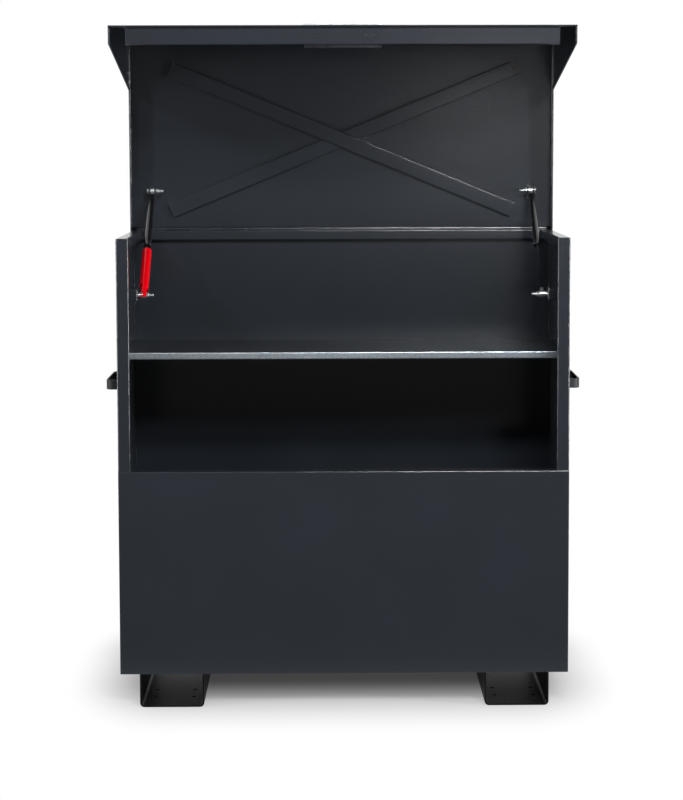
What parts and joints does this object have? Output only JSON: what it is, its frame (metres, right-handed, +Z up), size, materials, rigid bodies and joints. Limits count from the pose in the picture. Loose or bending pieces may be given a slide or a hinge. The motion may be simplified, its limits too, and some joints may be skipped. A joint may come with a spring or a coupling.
{
  "type": "jobsite storage box",
  "caption": "Tall steel site storage chest on fork skids with an L-shaped hinged lid held open by gas struts, an inner shelf, side grab handles and a lid lock.",
  "frame": {"origin": "on the ground under the middle of the body", "axes": "+X to the right seen from the front, +Y to the rear, +Z up"},
  "size_m": [1.284, 0.6447, 1.82],
  "materials": {
    "powder_coat": "charcoal powder coat with fine orange peel",
    "black_coat": "black powder coat",
    "galvanised": "galvanised sheet with spangle",
    "zinc_hardware": "bright zinc plate",
    "strut_black": "gloss black enamel",
    "strut_rod": "dark nitrided, polished",
    "strut_end": "bright zinc plate",
    "safety_red": "gloss red",
    "lock_steel": "zinc-plated steel",
    "lock_brass": "satin"
  },
  "bodies": {
    "box": {"side_panel_left": "powder_coat", "side_panel_right": "powder_coat", "back_panel": "powder_coat", "rear_rail": "powder_coat", "front_panel": "powder_coat", "lock_keeper": "lock_steel", "floor_panel": "powder_coat", "fork_skid_left": "black_coat", "fork_skid_right": "black_coat", "shelf": "galvanised", "shelf_angle_left": "powder_coat", "shelf_angle_right": "powder_coat", "shelf_angle_rear": "powder_coat", "grab_handle_left": "black_coat", "grab_handle_right": "black_coat", "strut_bracket_left": "powder_coat", "strut_bracket_right": "powder_coat", "lower_bolts": "zinc_hardware", "lower_spacers": "zinc_hardware", "lower_washers": "zinc_hardware", "lower_lock_nuts": "zinc_hardware", "hinge_leaf_fixed": "powder_coat", "hinge_pin": "zinc_hardware"},
    "lid": {"lid_top_panel": "powder_coat", "lid_front_panel": "powder_coat", "lid_cheek_left": "powder_coat", "lid_cheek_right": "powder_coat", "lid_brace_long": "powder_coat", "lid_brace_short_left": "powder_coat", "lid_brace_short_right": "powder_coat", "strut_fork_left": "powder_coat", "strut_fork_right": "powder_coat", "upper_bolt_heads": "zinc_hardware", "upper_bolt_threads": "zinc_hardware", "upper_lock_nuts": "zinc_hardware", "hinge_leaf_moving": "powder_coat", "lock_case": "powder_coat", "keyhole_plate": "lock_steel", "keyhole_rivet": "lock_steel"},
    "deadbolts": {"deadbolt_left": "lock_steel", "deadbolt_right": "lock_steel", "lock_tie_bar": "lock_steel"},
    "key_unit": {"lock_cylinder": "lock_brass", "lock_cam": "lock_steel"},
    "key_cover": {"keyhole_cover": "lock_steel"},
    "left_rod": {"strut_foot_eye_left": "strut_end", "strut_rod_left": "strut_rod", "safety_sleeve": "safety_red"},
    "right_rod": {"strut_foot_eye_right": "strut_end", "strut_rod_right": "strut_rod"},
    "left_tube": {"strut_tube_left": "strut_black", "strut_head_eye_left": "strut_end"},
    "right_tube": {"strut_tube_right": "strut_black", "strut_head_eye_right": "strut_end"}
  },
  "joints": [
    {"name": "lid_hinge", "type": "hinge", "parent": "box", "child": "lid", "pos_m": [0, 0.28, 1.259], "axis": [1, 0, 0], "range_deg": [0, 89]},
    {"name": "bolt_throw", "type": "slide", "parent": "lid", "child": "deadbolts", "axis": [0, -0.9998, -0.0175], "range_m": [0, 0.014]},
    {"name": "key_turn", "type": "hinge", "parent": "lid", "child": "key_unit", "pos_m": [0, -0.28971, 1.81014], "axis": [0, 0.0175, -0.9998], "range_deg": [0, 90.01]},
    {"name": "cover_swing", "type": "hinge", "parent": "lid", "child": "key_cover", "pos_m": [0, -0.26277, 1.81411], "axis": [0, -0.0175, 0.9998], "range_deg": [0, 120]},
    {"name": "left_strut_foot", "type": "hinge", "parent": "box", "child": "left_rod", "pos_m": [-0.541, -0.115, 1.096], "axis": [1, 0, 0], "range_deg": [-12.36, 0]},
    {"name": "left_strut_stroke", "type": "slide", "parent": "left_rod", "child": "left_tube", "axis": [0, -0.7983, -0.6023], "range_m": [0, 0.13876]},
    {"name": "right_strut_foot", "type": "hinge", "parent": "box", "child": "right_rod", "pos_m": [0.541, -0.115, 1.096], "axis": [1, 0, 0], "range_deg": [-12.36, 0]},
    {"name": "right_strut_stroke", "type": "slide", "parent": "right_rod", "child": "right_tube", "axis": [0, -0.7983, -0.6023], "range_m": [0, 0.13876]}
  ],
  "couplings": [
    {"joint": "key_turn", "follows": "bolt_throw", "rad_per_m": 112.19},
    {"joint": "left_strut_foot", "follows": "lid_hinge", "ratio": -0.13873},
    {"joint": "left_strut_stroke", "follows": "lid_hinge", "m_per_rad": 0.089265},
    {"joint": "right_strut_foot", "follows": "lid_hinge", "ratio": -0.13873},
    {"joint": "right_strut_stroke", "follows": "lid_hinge", "m_per_rad": 0.089265}
  ]
}
